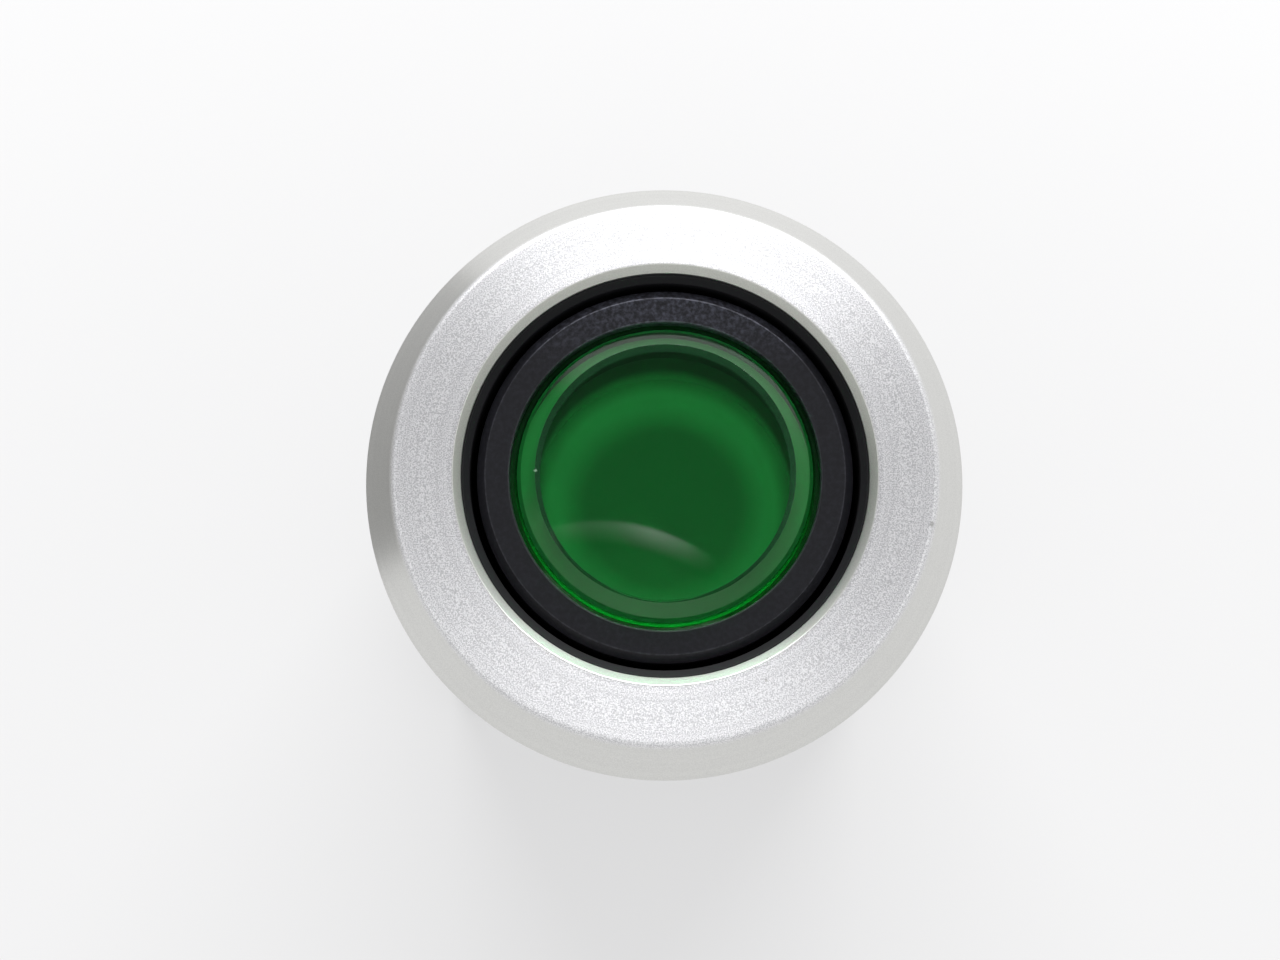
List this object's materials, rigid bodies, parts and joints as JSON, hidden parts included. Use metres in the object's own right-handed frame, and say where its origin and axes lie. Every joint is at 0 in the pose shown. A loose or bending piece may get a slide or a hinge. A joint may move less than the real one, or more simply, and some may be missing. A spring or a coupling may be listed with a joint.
{
  "type": "illuminated push button",
  "caption": "Round illuminated push button for a panel hole: satin aluminium bezel, black button ring, clear green lens, threaded barrel and a switch block with lamp socket behind the panel.",
  "frame": {"origin": "on the axis of the barrel, in the plane of the panel's front face, where the bezel's foot and the gasket seat", "axes": "+Z along the barrel towards the front, so the button is pressed along -Z; +Y towards the key on the barrel"},
  "size_m": [0.0295, 0.0294, 0.0433],
  "materials": {
    "bezel_aluminium": "natural anodised, matte, fine turning marks",
    "black_rubber": "matte",
    "barrel_plastic": "moulded black",
    "plated_steel": "zinc plated",
    "nut_plastic": "moulded black",
    "collar_plastic": "moulded dark grey",
    "dark_steel": "oiled",
    "block_plastic": "moulded black",
    "cover_plastic": "moulded dark grey",
    "contact_brass": "stamped",
    "lamp_cap_metal": "nickel plated",
    "lamp_insulator": "glossy black",
    "lamp_dome": "milky",
    "spring_steel": "drawn wire",
    "ring_plastic": "matte black, lightly scuffed",
    "lens_green": "clear green plastic",
    "diffuser_plastic": "milky white",
    "pusher_green": "moulded",
    "pusher_red": "moulded"
  },
  "bodies": {
    "base": {"bezel": "bezel_aluminium", "panel_gasket": "black_rubber", "barrel": "barrel_plastic", "plunger_seal": "black_rubber", "lock_washer": "plated_steel", "ring_nut": "nut_plastic", "coupling_collar": "collar_plastic", "collar_set_screw": "dark_steel", "block_housing": "block_plastic", "block_cover_left": "cover_plastic", "block_cover_right": "cover_plastic", "fixed_contact_no_a": "contact_brass", "fixed_contact_no_b": "contact_brass", "fixed_contact_nc_a": "contact_brass", "fixed_contact_nc_b": "contact_brass", "lamp_shell": "contact_brass", "lamp_centre_contact": "contact_brass", "lamp_base_plug": "cover_plastic", "terminal_screws": "plated_steel", "clamp_plates": "plated_steel", "led_cap": "lamp_cap_metal", "led_insulator": "lamp_insulator", "led_tip": "lamp_cap_metal", "led_dome": "lamp_dome", "return_spring": "spring_steel", "pusher_spring_no": "spring_steel", "pusher_spring_nc": "spring_steel"},
    "button": {"button_ring": "ring_plastic", "lens": "lens_green", "lens_gasket": "black_rubber", "diffuser": "diffuser_plastic", "plunger": "barrel_plastic", "retaining_clip": "dark_steel", "pusher_no": "pusher_green", "pusher_nc": "pusher_red", "bridge_no": "contact_brass", "bridge_nc": "contact_brass", "contact_spring_no": "spring_steel", "contact_spring_nc": "spring_steel"}
  },
  "joints": [
    {"name": "press", "type": "slide", "parent": "base", "child": "button", "axis": [0, 0, -1], "range_m": [0, 0.004], "stiffness_N_per_m": 800, "springref_m": -0.004, "deforming": ["return_spring", "pusher_spring_no", "pusher_spring_nc"]}
  ]
}
